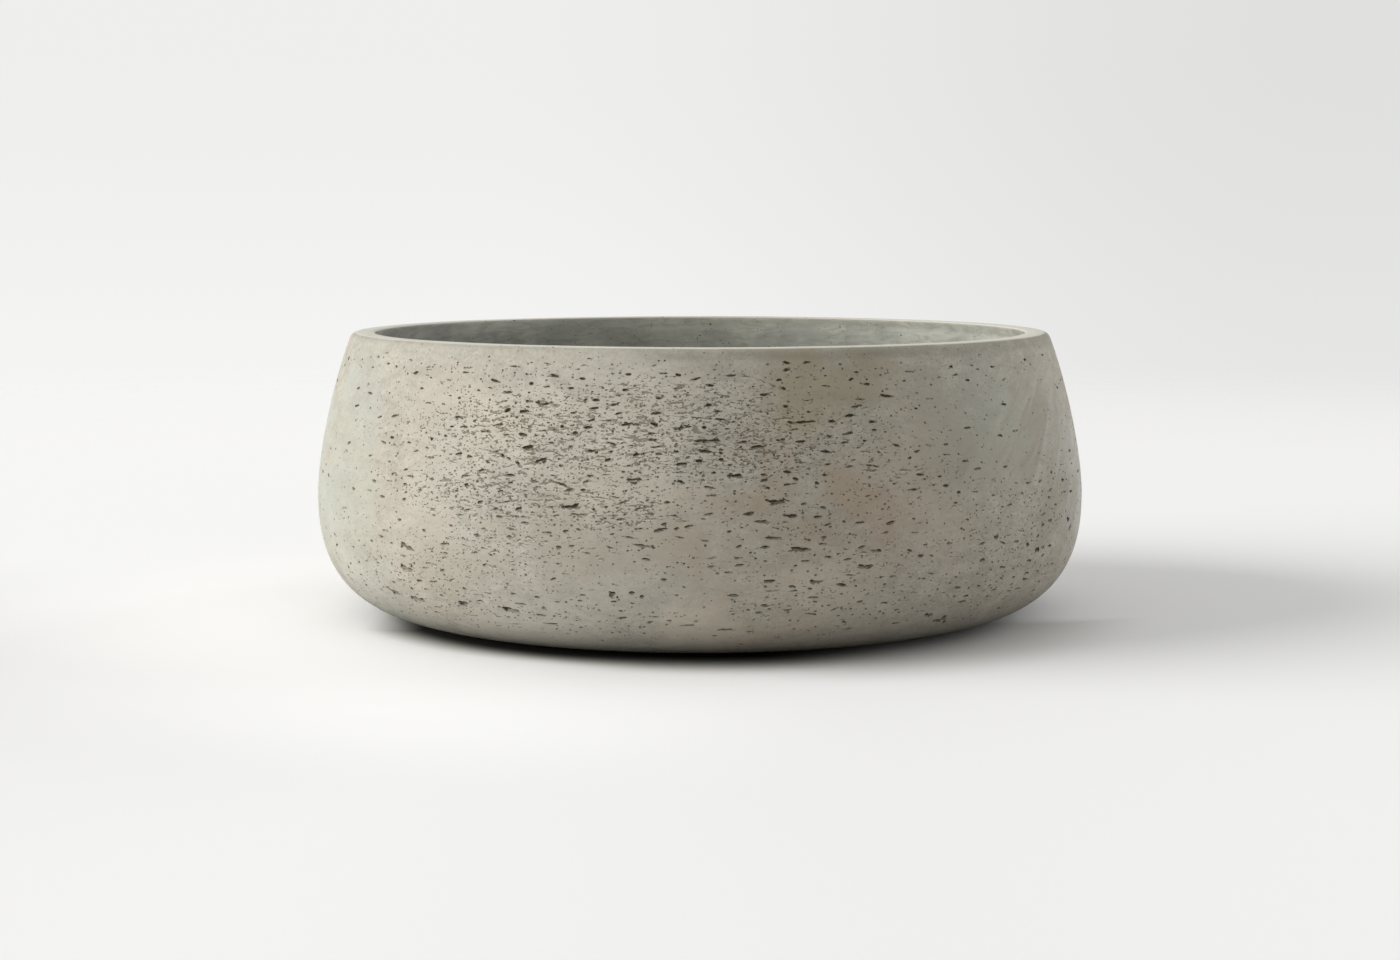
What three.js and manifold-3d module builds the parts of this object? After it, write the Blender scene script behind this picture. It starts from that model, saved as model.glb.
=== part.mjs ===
// A low, round bowl planter cast in fibre cement: a thin shell with a rounded heel, a drawn-in shoulder and a
// flat lip, a rubber plug seated over the drain hole in its floor, and rubber feet under its foot ring.
// Lengths are in millimetres and +Z is up. The origin is on the ground, under the middle of the bowl.

import * as THREE from 'three';
import { mergeVertices, toCreasedNormals } from 'three/addons/utils/BufferGeometryUtils.js';
import Module from 'manifold-3d';

const wasm = await Module();
wasm.setup();

// ---------------------------------------------------------------------------------------------------------
// Driving dimensions
// ---------------------------------------------------------------------------------------------------------

// Outside of the shell
const HEIGHT = 165; // from the ground to the top of the lip
const BELLY_RADIUS = 225; // the widest circle
const BELLY_HEIGHT = 70.5; // height of the widest circle above the ground
const FOOT_RADIUS = 159; // where the heel runs out into the flat underside
const LIP_RADIUS = 204; // the lip's outer edge, before it is rounded
const HEEL_FULLNESS = 2.4; // exponent of the heel's superellipse: 2 is an ellipse, more is squarer
const SHOULDER_TAPER = THREE.MathUtils.degToRad( 20.8 ); // lean of the wall at the lip, from the vertical
const BELLY_PULL = 20; // how far the belly's upright run carries on into the shoulder
const LIP_PULL = 32; // how far the lip's lean carries on down into the shoulder

// Wall, floor and lip
const WALL = 14; // at the belly
const LIP_WIDTH = 14; // across the lip, before its edges are rounded
const FLOOR_THICKNESS = 18; // at the foot ring
const LIP_OUTER_ROUND = 4;
const LIP_INNER_ROUND = 2.5;

// Underside
const FOOT_RING_WIDTH = 41; // the ring that carries the feet
const KICK_DEPTH = 3; // hollow inside the foot ring
const KICK_SLOPE = 4; // run of the hollow's sloping side

// Drain hole, and the shallow seat round it that the plug's head lies in
const DRAIN_RADIUS = 12;
const DRAIN_EDGE = 1.2; // chamfer at both ends of the hole
const SEAT_SIDE_GAP = 1.5; // round the head
const SEAT_EDGE = 1; // chamfer where the seat meets the floor

// Feet
const FOOT_COUNT = 4;
const FOOT_PAD_RADIUS = 11;
const FOOT_PROUD = 1.5; // how far the feet lift the underside off the ground
const FOOT_POCKET_DEPTH = 1.8;
const FOOT_CHAMFER = 0.7;
const FOOT_SIDE_GAP = 0.5; // between a foot and the side of its pocket
const ADHESIVE = 0.3; // film between a foot and the bottom of its pocket

// Drain plug
const PLUG_HEAD_RADIUS = 19;
const PLUG_HEAD_THICKNESS = 3.6;
const PLUG_HEAD_ROUND = 1.6;
const PLUG_HEAD_SUNK = 0.2; // how far the head lies below the floor
const PLUG_SEAT_GAP = 0.3; // under the head
const PLUG_CORE_RADIUS = 6.4; // the stem is hollow from below
const PLUG_CORE_ROOF = 1.6; // rubber left between the hollow and the underside of the head
const PLUG_REACH = 0.6; // how far the stem stands out of the hole's lower end
const PLUG_LEAD = 1.2; // chamfer that starts the stem in the hole
const RIB_COUNT = 3;
const RIB_HEIGHT = 1; // above the stem
const RIB_GAP = 0.3; // between the ribs and the hole

// Knob that the plug is pulled out by
const KNOB_RADIUS = 8;
const KNOB_THICKNESS = 5;
const KNOB_LIFT = 5; // finger room between the head and the knob
const NECK_RADIUS = 4.5;
const NECK_ROOT = 1.5; // flare of the neck where it meets the head

// Fineness of the curves
const SHELL_SEGMENTS = 88;
const PLUG_SEGMENTS = 36;
const FOOT_SEGMENTS = 28;
const OUTER_STEPS = 11; // along the heel, and again along the shoulder
const INNER_STEPS = 9;
const EDGE_STEPS = 4;
const KNOB_STEPS = 6;

// Worked out from the above
const UNDERSIDE = FOOT_PROUD;
const FLOOR_TOP = UNDERSIDE + FLOOR_THICKNESS;
const HEAD_UNDERSIDE = FLOOR_TOP - PLUG_HEAD_SUNK - PLUG_HEAD_THICKNESS;
const SEAT_TOP = HEAD_UNDERSIDE - PLUG_SEAT_GAP;
const SEAT_RADIUS = PLUG_HEAD_RADIUS + SEAT_SIDE_GAP;
const KICK_CEILING = UNDERSIDE + KICK_DEPTH;
const KICK_RADIUS = FOOT_RADIUS - FOOT_RING_WIDTH;
const FOOT_CIRCLE = FOOT_RADIUS - FOOT_RING_WIDTH / 2;
const FOOT_THICKNESS = FOOT_PROUD + FOOT_POCKET_DEPTH - ADHESIVE;
const CREASE = Math.PI / 6; // faces that meet more sharply than this keep a crisp edge

// ---------------------------------------------------------------------------------------------------------
// Materials
// ---------------------------------------------------------------------------------------------------------

const fibreCement = new THREE.MeshStandardMaterial( { color: 0xa8a396, roughness: 0.92, metalness: 0 } );
const plugRubber = new THREE.MeshStandardMaterial( { color: 0x2b2b2a, roughness: 0.7, metalness: 0 } );
const footRubber = new THREE.MeshStandardMaterial( { color: 0x3a3936, roughness: 0.8, metalness: 0 } );

// ---------------------------------------------------------------------------------------------------------
// Outlines and solids
// ---------------------------------------------------------------------------------------------------------

// The heel, a quarter of a superellipse, from the flat at height bottom out and up to the widest circle.
function heel( bottom, widestRadius, steps ) {

	const points = [];

	for ( let i = 0; i <= steps; i ++ ) {

		const angle = Math.PI / 2 * ( 1 - i / steps );
		const out = Math.max( Math.cos( angle ), 0 ) ** ( 2 / HEEL_FULLNESS );
		const down = Math.sin( angle ) ** ( 2 / HEEL_FULLNESS );
		points.push( new THREE.Vector2(
			FOOT_RADIUS + ( widestRadius - FOOT_RADIUS ) * out,
			BELLY_HEIGHT - ( BELLY_HEIGHT - bottom ) * down
		) );

	}

	return points;

}

// The shoulder, from the widest circle up to where the rounding of the lip begins.
function shoulder( widestRadius, lipRadius, lipRound, steps ) {

	const lean = new THREE.Vector2( - Math.sin( SHOULDER_TAPER ), Math.cos( SHOULDER_TAPER ) );
	const belly = new THREE.Vector2( widestRadius, BELLY_HEIGHT );
	const lip = new THREE.Vector2( lipRadius, HEIGHT ).addScaledVector( lean, - lipRound );
	const curve = new THREE.CubicBezierCurve(
		belly,
		belly.clone().add( new THREE.Vector2( 0, BELLY_PULL ) ),
		lip.clone().addScaledVector( lean, - LIP_PULL ),
		lip
	);

	return curve.getPoints( steps );

}

// The rounded edge of the lip, from where a shoulder ends to the flat. side is 1 outside and -1 inside.
function lipEdge( from, lipRadius, lipRound, side ) {

	const corner = new THREE.Vector2( lipRadius, HEIGHT );
	const flat = new THREE.Vector2( lipRadius - side * lipRound, HEIGHT );

	return new THREE.QuadraticBezierCurve( from, corner, flat ).getPoints( EDGE_STEPS );

}

// Part of a circle, from one angle to another.
function arc( centreRadius, centreHeight, round, fromAngle, toAngle, steps ) {

	const curve = new THREE.EllipseCurve( centreRadius, centreHeight, round, round, fromAngle, toAngle );

	return curve.getPoints( steps );

}

// A closed outline turned about +Z.
function turned( points, segments ) {

	return new THREE.LatheGeometry( points, segments ).rotateX( Math.PI / 2 );

}

function toSolid( geometry ) {

	const bare = new THREE.BufferGeometry();
	bare.setAttribute( 'position', geometry.getAttribute( 'position' ) );
	bare.setIndex( geometry.getIndex() );
	const merged = mergeVertices( bare, 1e-3 );

	return new wasm.Manifold( new wasm.Mesh( {
		numProp: 3,
		vertProperties: new Float32Array( merged.getAttribute( 'position' ).array ),
		triVerts: new Uint32Array( merged.getIndex().array )
	} ) );

}

function toGeometry( solid ) {

	const mesh = solid.getMesh();
	const geometry = new THREE.BufferGeometry();
	geometry.setAttribute( 'position', new THREE.BufferAttribute( new Float32Array( mesh.vertProperties ), 3 ) );
	geometry.setIndex( new THREE.BufferAttribute( new Uint32Array( mesh.triVerts ), 1 ) );

	return toCreasedNormals( geometry, CREASE );

}

// Where foot number i stands on its circle.
function footPlace( i ) {

	const angle = 2 * Math.PI * ( i + 0.5 ) / FOOT_COUNT;

	return new THREE.Vector3( FOOT_CIRCLE * Math.cos( angle ), FOOT_CIRCLE * Math.sin( angle ), 0 );

}

// ---------------------------------------------------------------------------------------------------------
// Pieces
// ---------------------------------------------------------------------------------------------------------

// The cast shell: one outline round the outside, over the lip, down the inside, across the floor, into the
// plug's seat, through the drain hole and back along the underside.
function bowlShell() {

	const innerBelly = BELLY_RADIUS - WALL;
	const innerLip = LIP_RADIUS - LIP_WIDTH;

	const outerHeel = heel( UNDERSIDE, BELLY_RADIUS, OUTER_STEPS );
	const outerShoulder = shoulder( BELLY_RADIUS, LIP_RADIUS, LIP_OUTER_ROUND, OUTER_STEPS );
	const outerEdge = lipEdge( outerShoulder.at( - 1 ), LIP_RADIUS, LIP_OUTER_ROUND, 1 );
	const innerHeel = heel( FLOOR_TOP, innerBelly, INNER_STEPS );
	const innerShoulder = shoulder( innerBelly, innerLip, LIP_INNER_ROUND, INNER_STEPS );
	const innerEdge = lipEdge( innerShoulder.at( - 1 ), innerLip, LIP_INNER_ROUND, - 1 );

	const outline = [
		...outerHeel,
		...outerShoulder.slice( 1 ),
		...outerEdge.slice( 1 ),
		...innerEdge.reverse(),
		...innerShoulder.reverse().slice( 1 ),
		...innerHeel.reverse().slice( 1 ),
		new THREE.Vector2( SEAT_RADIUS + SEAT_EDGE, FLOOR_TOP ),
		new THREE.Vector2( SEAT_RADIUS, FLOOR_TOP - SEAT_EDGE ),
		new THREE.Vector2( SEAT_RADIUS, SEAT_TOP ),
		new THREE.Vector2( DRAIN_RADIUS + DRAIN_EDGE, SEAT_TOP ),
		new THREE.Vector2( DRAIN_RADIUS, SEAT_TOP - DRAIN_EDGE ),
		new THREE.Vector2( DRAIN_RADIUS, KICK_CEILING + DRAIN_EDGE ),
		new THREE.Vector2( DRAIN_RADIUS + DRAIN_EDGE, KICK_CEILING ),
		new THREE.Vector2( KICK_RADIUS - KICK_SLOPE, KICK_CEILING ),
		new THREE.Vector2( KICK_RADIUS, UNDERSIDE ),
		outerHeel[ 0 ]
	];

	let shell = toSolid( turned( outline, SHELL_SEGMENTS ) );

	for ( let i = 0; i < FOOT_COUNT; i ++ ) {

		shell = shell.subtract( footPocket( i ) );

	}

	return new THREE.Mesh( toGeometry( shell ), fibreCement );

}

// The shallow round pocket that foot number i is glued into. It reaches below the underside to cut clear of it.
function footPocket( i ) {

	const below = UNDERSIDE / 2;
	const top = UNDERSIDE + FOOT_POCKET_DEPTH;
	const pocket = new THREE.CylinderGeometry(
		FOOT_PAD_RADIUS + FOOT_SIDE_GAP,
		FOOT_PAD_RADIUS + FOOT_SIDE_GAP,
		top - below,
		FOOT_SEGMENTS
	).rotateX( Math.PI / 2 );
	const place = footPlace( i );
	pocket.translate( place.x, place.y, ( top + below ) / 2 );

	return toSolid( pocket );

}

// A round rubber foot, chamfered where it meets the ground.
function footPad() {

	const outline = [
		new THREE.Vector2( 0, 0 ),
		new THREE.Vector2( FOOT_PAD_RADIUS - FOOT_CHAMFER, 0 ),
		new THREE.Vector2( FOOT_PAD_RADIUS, FOOT_CHAMFER ),
		new THREE.Vector2( FOOT_PAD_RADIUS, FOOT_THICKNESS ),
		new THREE.Vector2( 0, FOOT_THICKNESS )
	];

	return new THREE.Mesh( turned( outline, FOOT_SEGMENTS ), footRubber );

}

// The rubber plug, drawn with the underside of its head at height 0: a stem with ribs that grip the hole,
// hollow from below so that it gives, a head with a rounded edge, and a knob on a short neck.
function drainPlug() {

	const outline = [ ...plugStem(), ...plugHead(), ...plugKnob() ];

	return new THREE.Mesh( turned( outline, PLUG_SEGMENTS ), plugRubber );

}

function plugStem() {

	const ribRadius = DRAIN_RADIUS - RIB_GAP;
	const stemRadius = ribRadius - RIB_HEIGHT;
	const stemLength = HEAD_UNDERSIDE - KICK_CEILING + PLUG_REACH;
	const ribPitch = ( stemLength - PLUG_LEAD ) / ( RIB_COUNT + 1 );

	const outline = [
		new THREE.Vector2( 0, - PLUG_CORE_ROOF ),
		new THREE.Vector2( PLUG_CORE_RADIUS, - PLUG_CORE_ROOF ),
		new THREE.Vector2( PLUG_CORE_RADIUS, - stemLength ),
		new THREE.Vector2( stemRadius - PLUG_LEAD / 2, - stemLength ),
		new THREE.Vector2( stemRadius, PLUG_LEAD - stemLength )
	];

	for ( let i = 1; i <= RIB_COUNT; i ++ ) {

		const height = PLUG_LEAD - stemLength + i * ribPitch;
		outline.push(
			new THREE.Vector2( stemRadius, height - ribPitch / 2 ),
			new THREE.Vector2( ribRadius, height ),
			new THREE.Vector2( stemRadius, height + ribPitch / 4 )
		);

	}

	outline.push( new THREE.Vector2( stemRadius, 0 ) );

	return outline;

}

function plugHead() {

	const roundRadius = PLUG_HEAD_RADIUS - PLUG_HEAD_ROUND;
	const roundHeight = PLUG_HEAD_THICKNESS - PLUG_HEAD_ROUND;

	return [
		new THREE.Vector2( PLUG_HEAD_RADIUS, 0 ),
		...arc( roundRadius, roundHeight, PLUG_HEAD_ROUND, 0, Math.PI / 2, EDGE_STEPS )
	];

}

function plugKnob() {

	const round = KNOB_THICKNESS / 2;
	const knobHeight = PLUG_HEAD_THICKNESS + KNOB_LIFT + round;

	return [
		new THREE.Vector2( NECK_RADIUS + NECK_ROOT, PLUG_HEAD_THICKNESS ),
		new THREE.Vector2( NECK_RADIUS, PLUG_HEAD_THICKNESS + NECK_ROOT ),
		new THREE.Vector2( NECK_RADIUS, knobHeight - round ),
		...arc( KNOB_RADIUS - round, knobHeight, round, - Math.PI / 2, Math.PI / 2, KNOB_STEPS ),
		new THREE.Vector2( 0, knobHeight + round )
	];

}

// ---------------------------------------------------------------------------------------------------------
// Assembly
// ---------------------------------------------------------------------------------------------------------

const planter = new THREE.Group();

const shell = bowlShell();
shell.name = 'bowl_shell';
planter.add( shell );

const plug = drainPlug();
plug.name = 'drain_plug';
plug.position.z = HEAD_UNDERSIDE;
planter.add( plug );

const feet = new THREE.Group();
planter.add( feet );

for ( let i = 0; i < FOOT_COUNT; i ++ ) {

	const foot = footPad();
	foot.name = `foot_pad_${ i + 1 }`;
	foot.position.copy( footPlace( i ) );
	feet.add( foot );

}

export default planter;
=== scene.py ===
import math
import random
from bisect import bisect_right

import bmesh
import bpy
from bpy.props import FloatProperty, FloatVectorProperty, IntProperty, PointerProperty
from bpy.types import Operator, Panel, PropertyGroup
from mathutils import Matrix, Vector, noise
from mathutils.geometry import interpolate_bezier


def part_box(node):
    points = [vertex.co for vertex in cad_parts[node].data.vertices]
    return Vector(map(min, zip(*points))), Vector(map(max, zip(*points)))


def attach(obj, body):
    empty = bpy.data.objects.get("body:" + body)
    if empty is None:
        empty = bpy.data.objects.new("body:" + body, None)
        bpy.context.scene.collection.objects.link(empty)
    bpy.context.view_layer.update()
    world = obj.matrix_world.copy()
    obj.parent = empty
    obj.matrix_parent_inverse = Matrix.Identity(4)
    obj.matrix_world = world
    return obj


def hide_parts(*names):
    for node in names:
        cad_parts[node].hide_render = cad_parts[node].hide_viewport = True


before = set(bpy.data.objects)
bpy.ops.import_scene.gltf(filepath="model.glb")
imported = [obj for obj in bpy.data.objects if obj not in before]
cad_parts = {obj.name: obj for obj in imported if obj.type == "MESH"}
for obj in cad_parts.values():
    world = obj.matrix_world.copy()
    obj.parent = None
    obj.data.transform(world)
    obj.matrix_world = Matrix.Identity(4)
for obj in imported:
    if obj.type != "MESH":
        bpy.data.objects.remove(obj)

bl_info = {
    "name": "Fibre cement bowl planter",
    "version": (1, 0, 0),
    "blender": (4, 5, 0),
    "location": "3D View > Sidebar > Planter",
    "description": "Builds a low round planter of pitted fibre cement with its plug and feet, and a studio",
    "category": "Object",
}

FEET = ("foot_pad_1", "foot_pad_2", "foot_pad_3", "foot_pad_4")
POCKET_STEPS = 96
# Two lengths that differ by less than this, in metres, count as the same.
HAIR = 1e-5
# How far a piece may stand out of the box of its node.
BOX_SLACK = 1e-4
# Cutters are drawn in batches, because a drawing slows down as it grows.
CUTTER_BATCH = 40
ROUGHNESS_PER_METRE = 420

# Pits lie between these heights. They thin out over the fades at both ends.
PITS_FROM, PITS_TO = 0.008, 0.1605
FADE_LOW, FADE_HIGH = 0.012, 0.008
# Round the sides, in degrees from the camera, the seeded pits take over from the patches.
SIDE_FROM, SIDE_FADE = 62, 25
# Pits fall off round the middle of a patch by this power, and a few lie outside every patch.
PATCH_FALL = 0.6
STRAY_PITS = 0.012

# What is this close under the top counts as lip, as far out as this share of the outer rounding.
LIP_WEAR = 0.0009
LIP_SHARE = 0.45


# ---- Sizes ----


def length(default, name, description):
    """A property that holds a length in metres."""
    return FloatProperty(name=name, description=description, default=default, unit="LENGTH", precision=5)


def angle(degrees, name, description):
    """A property that holds an angle."""
    default = math.radians(degrees)
    return FloatProperty(name=name, description=description, default=default, subtype="ANGLE")


def number(default, name, description):
    """A property that holds a plain number."""
    return FloatProperty(name=name, description=description, default=default)


def count(default, name, description):
    """A property that holds a whole number."""
    return IntProperty(name=name, description=description, default=default)


class BowlSizes(PropertyGroup):
    """The turned outline of the bowl and the finish of its mould."""

    foot_radius: length(0.159, "Foot radius", "Where the heel runs out into the flat underside")
    belly_height: length(0.0705, "Belly height", "Height of the widest circle above the ground")
    lip_radius: length(0.204, "Lip radius", "Outer edge of the lip, before it is rounded")
    heel_fullness: number(2.4, "Heel fullness", "Exponent of the heel's superellipse")
    shoulder_taper: angle(20.8, "Shoulder taper", "Lean of the wall at the lip, from the vertical")
    belly_pull: length(0.020, "Belly pull", "How far the belly's upright run carries on into the shoulder")
    lip_pull: length(0.032, "Lip pull", "How far the lip's lean carries on down into the shoulder")
    wall: length(0.014, "Wall", "Thickness of the wall, and of the lip before its edges are rounded")
    floor_thickness: length(0.018, "Floor thickness", "Thickness of the floor at the foot ring")
    lip_outer_round: length(0.004, "Outer lip round", "Rounding of the lip's outer edge")
    lip_inner_round: length(0.0025, "Inner lip round", "Rounding of the lip's inner edge")
    foot_ring: length(0.041, "Foot ring", "Width of the ring that carries the feet")
    kick_depth: length(0.003, "Kick depth", "Hollow inside the foot ring")
    kick_slope: length(0.004, "Kick slope", "Run of the hollow's sloping side")
    drain_radius: length(0.012, "Drain radius", "Radius of the drain hole")
    drain_edge: length(0.0012, "Drain edge", "Chamfer at both ends of the drain hole")
    seat_radius: length(0.0205, "Seat radius", "Radius of the shallow seat round the drain hole")
    seat_depth: length(0.0041, "Seat depth", "Depth of the seat below the floor")
    seat_edge: length(0.001, "Seat edge", "Chamfer where the seat meets the floor")
    pocket_gap: length(0.0005, "Pocket gap", "Gap between a foot and the side of its pocket")
    pocket_depth: length(0.0018, "Pocket depth", "Depth of the pockets that the feet are glued into")
    unevenness: length(0.0005, "Unevenness", "How far the wall wanders from the true outline")
    turns: count(220, "Turns", "Steps round the bowl")


class PitSizes(PropertyGroup):
    """The air pits in the outside of the bowl."""

    seed: count(11, "Seed", "Picks one arrangement of the scattered pits")
    medium: count(1080, "Medium pits", "How many pits of a few millimetres")
    small: count(2400, "Small pits", "How many pits of one to three millimetres")
    sideways: length(0.00028, "Spacing", "Least room between two pits")
    raggedness: number(0.9, "Raggedness", "How uneven the pits' edges are")


class PlugSizes(PropertyGroup):
    """The rubber plug in the drain hole."""

    head_radius: length(0.019, "Head radius", "Radius of the head")
    head_thickness: length(0.0036, "Head thickness", "Thickness of the head")
    head_round: length(0.0016, "Head round", "Rounding of the head's upper edge")
    core_radius: length(0.0064, "Core radius", "Radius of the hollow in the stem")
    core_roof: length(0.0016, "Core roof", "Rubber between the hollow and the underside of the head")
    stem_radius: length(0.0107, "Stem radius", "Radius of the stem between its ribs")
    stem_length: length(0.0118, "Stem length", "From the underside of the head to the end of the stem")
    lead: length(0.0012, "Lead", "Chamfer that starts the stem in the hole")
    ribs: count(3, "Ribs", "How many ribs grip the hole")
    rib_height: length(0.001, "Rib height", "Height of a rib above the stem")
    knob_radius: length(0.008, "Knob radius", "Radius of the knob")
    knob_thickness: length(0.005, "Knob thickness", "Thickness of the knob")
    knob_lift: length(0.005, "Knob lift", "Finger room between the head and the knob")
    neck_radius: length(0.0045, "Neck radius", "Radius of the neck")
    neck_root: length(0.0015, "Neck root", "Flare of the neck where it meets the head")
    soft_edge: length(0.00025, "Soft edge", "Rounding of the moulded edges")
    turns: count(128, "Turns", "Steps round the plug")


class FootSizes(PropertyGroup):
    """The rubber feet."""

    edge: length(0.0007, "Edge", "Rounding of a foot where it meets the ground")
    top_edge: length(0.0002, "Top edge", "Rounding of a foot inside its pocket")
    turns: count(96, "Turns", "Steps round a foot")


class StageSizes(PropertyGroup):
    """The camera and the lamps."""

    camera_distance: length(1.451, "Camera distance", "From the bowl's axis to the camera")
    camera_height: length(0.232, "Camera height", "Height of the camera above the ground")
    camera_tilt: angle(6.16, "Camera tilt", "How far the camera looks down")
    lens: number(63.03, "Lens", "Focal length in millimetres")
    key_strength: number(3.55, "Key strength", "Strength of the key lamp")
    fill_strength: number(1.5, "Fill strength", "Strength of the fill lamp")
    sky: number(0.53, "Sky", "Brightness of the light from all round")
    backdrop: FloatVectorProperty(
        name="Backdrop", description="Colour behind the bowl", default=(0.905, 0.902, 0.897), subtype="COLOR"
    )


# The patches of pits on the front of the bowl: bearing, height, half width, half height, and how full.
# A bearing is in degrees round from the camera, positive to its right. Heights are in millimetres.
PATCHES = (
    (-18, 120, 20, 20, 1.0), (-4, 113, 13, 13, 1.0), (3, 118, 15, 18, 0.95), (-5, 138, 16, 12, 0.8),
    (5, 141, 9, 10, 0.6), (-26, 90, 17, 14, 0.85), (-12, 84, 10, 12, 0.8), (-26, 64, 12, 11, 0.6),
    (-36, 46, 17, 22, 0.45), (-24, 28, 22, 10, 0.35), (-58, 34, 10, 12, 0.3), (-52, 74, 10, 30, 0.14),
    (0, 56, 14, 11, 0.24), (14, 78, 10, 22, 0.4), (13, 37, 9, 10, 0.45), (21, 116, 10, 20, 0.5),
    (29, 96, 10, 12, 0.5), (24, 52, 10, 14, 0.4), (46, 80, 22, 12, 0.33), (44, 60, 14, 20, 0.36),
    (34, 32, 24, 10, 0.3), (38, 112, 10, 16, 0.14), (-18, 152, 30, 8, 0.4), (10, 152, 24, 7, 0.32),
    (56, 40, 12, 12, 0.34),
)

# The pits that stand out: bearing, height, length, depth of the opening from top to bottom, and tilt.
MAIN_PITS = (
    (-21.8, 136, 9.5, 1.8, 6), (-9.6, 126.5, 10, 2.2, 3), (-5.8, 126.8, 6, 2.4, -8),
    (-2.4, 125.6, 9, 2, 4), (-23.9, 114, 7.5, 2.4, 8), (-14.8, 113, 7, 1.8, 0),
    (-27.1, 108.5, 7.5, 1.6, -18), (-21.8, 107.8, 5.5, 2.4, 14), (-12.4, 108.8, 6.5, 1.6, 6),
    (-8.1, 111.6, 5.5, 2, 0), (-8.6, 99, 12, 2.4, 5), (-2.6, 98.4, 5, 2, -6),
    (0.7, 118.7, 12, 2.3, 3), (0.9, 113.6, 15, 1.8, -7), (7.6, 115.6, 8, 1.8, 0),
    (-33.2, 92.9, 7, 2, 0), (-16.8, 85, 10, 2.6, 4), (-16, 81, 8, 1.8, 0), (-28.1, 81.7, 9, 1.6, 3),
    (-30.4, 84.8, 6, 2, 14), (-24.2, 78.4, 10, 1.6, 3), (-35.5, 127.4, 10, 1.2, 2),
    (-40.1, 115, 5, 2.6, 0), (-44, 57.5, 10, 3, -14), (-44.5, 45, 9, 2.8, -8),
    (-49.7, 29.6, 11, 2.8, -12), (-44.8, 27.8, 9, 2.6, -8), (-35.5, 28.8, 9, 2.8, -6),
    (-27.3, 28, 12, 2.8, -3), (-21.3, 21.5, 9, 1.4, 0), (-11.7, 39.8, 5, 2.8, 10),
    (-7.1, 65.9, 8, 1.8, -6), (14, 127.6, 11, 1.6, 3), (22.1, 134.9, 6, 1.8, 8),
    (17.1, 112.3, 7, 1.8, -6), (23.9, 104.4, 9, 2, -4), (4.8, 101.3, 7.5, 1.8, 0),
    (10, 88, 12, 2.2, 4), (12, 80.8, 7.5, 1.8, -8), (13, 63.8, 9.5, 2.8, -3), (9.2, 47.4, 8, 2, 2),
    (15.4, 46.3, 6.5, 1.8, 0), (22.2, 52.9, 9, 2.2, -4), (30.5, 56.7, 4.5, 1.8, 0),
    (35.2, 92.4, 4.6, 1.6, 0), (39.1, 103.9, 5, 1.6, 0), (44.5, 62.8, 3.4, 2.8, 0),
    (41.9, 50.3, 5, 2, 0), (55.2, 50.8, 4.6, 2.6, 0), (58.5, 65.5, 4.4, 2, 0), (3.6, 20.7, 9, 1.4, 0),
    (11.8, 31.5, 5, 1.6, 0), (37.8, 18.3, 9, 3, -6), (34.6, 22.4, 6, 2.2, 8),
    (66.5, 62.4, 4.4, 3, 20), (67.8, 57.6, 3.6, 2.6, 0),
)


# ---- Meshes and objects ----


def clamp(value, low=0, high=1):
    """The value, kept between two limits."""
    return min(max(value, low), high)


def bearing_of(place):
    """The bearing of a place in radians from the camera, positive to its right."""
    return math.atan2(place.x, -place.y)


def spot(radius, height):
    """A point of an outline."""
    return Vector((radius, 0, height))


def as_mesh(bm, name):
    """Closes a drawing and keeps it as a mesh."""
    mesh = bpy.data.meshes.new(name)
    bm.to_mesh(mesh)
    bm.free()
    return mesh


def put_in_scene(name, data):
    """A new object, at the origin."""
    obj = bpy.data.objects.new(name, data)
    bpy.context.scene.collection.objects.link(obj)
    return obj


def cylinder(bm, middle, radius, height, steps):
    """Adds a closed cylinder about +Z."""
    size = {"radius1": radius, "radius2": radius, "depth": height, "matrix": Matrix.Translation(middle)}
    bmesh.ops.create_cone(bm, cap_ends=True, segments=steps, **size)


def soften(bm, edges, offset, steps, careful):
    """Rounds some edges. A careful rounding stops where it would run into another."""
    settings = {"offset_type": "OFFSET", "profile": 0.5, "affect": "EDGES", "material": -1}
    bmesh.ops.bevel(bm, geom=edges, offset=offset, segments=steps, clamp_overlap=careful, **settings)


# ---- Outlines ----


def heel(sizes, low, wide_radius, steps):
    """A quarter of a superellipse, from the flat at height low out and up to the widest circle."""
    points = []
    for i in range(steps + 1):
        turned = math.pi / 2 * (1 - i / steps)
        out = max(math.cos(turned), 0) ** (2 / sizes.heel_fullness)
        down = math.sin(turned) ** (2 / sizes.heel_fullness)
        radius = sizes.foot_radius + (wide_radius - sizes.foot_radius) * out
        points.append(spot(radius, sizes.belly_height - (sizes.belly_height - low) * down))
    return points


def shoulder(sizes, top, wide_radius, lip_radius, lip_round, steps):
    """From the widest circle up to where the rounding of the lip begins."""
    lean = spot(-math.sin(sizes.shoulder_taper), math.cos(sizes.shoulder_taper))
    belly = spot(wide_radius, sizes.belly_height)
    lip = spot(lip_radius, top) - lean * lip_round
    pull = spot(0, sizes.belly_pull)
    return interpolate_bezier(belly, belly + pull, lip - lean * sizes.lip_pull, lip, steps + 1)


def lip_edge(start, lip_radius, top, lip_round, side, steps):
    """The rounded edge of the lip, from a shoulder's end to the flat. side is 1 outside and -1 inside."""
    corner = spot(lip_radius, top)
    flat = spot(lip_radius - side * lip_round, top)
    return interpolate_bezier(start, start.lerp(corner, 2 / 3), flat.lerp(corner, 2 / 3), flat, steps + 1)


def arc(radius, height, size, start, end, steps):
    """Part of a circle round one point of an outline, from one angle to another."""
    turns = [start + (end - start) * i / steps for i in range(steps + 1)]
    return [spot(radius + size * math.cos(turned), height + size * math.sin(turned)) for turned in turns]


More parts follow.
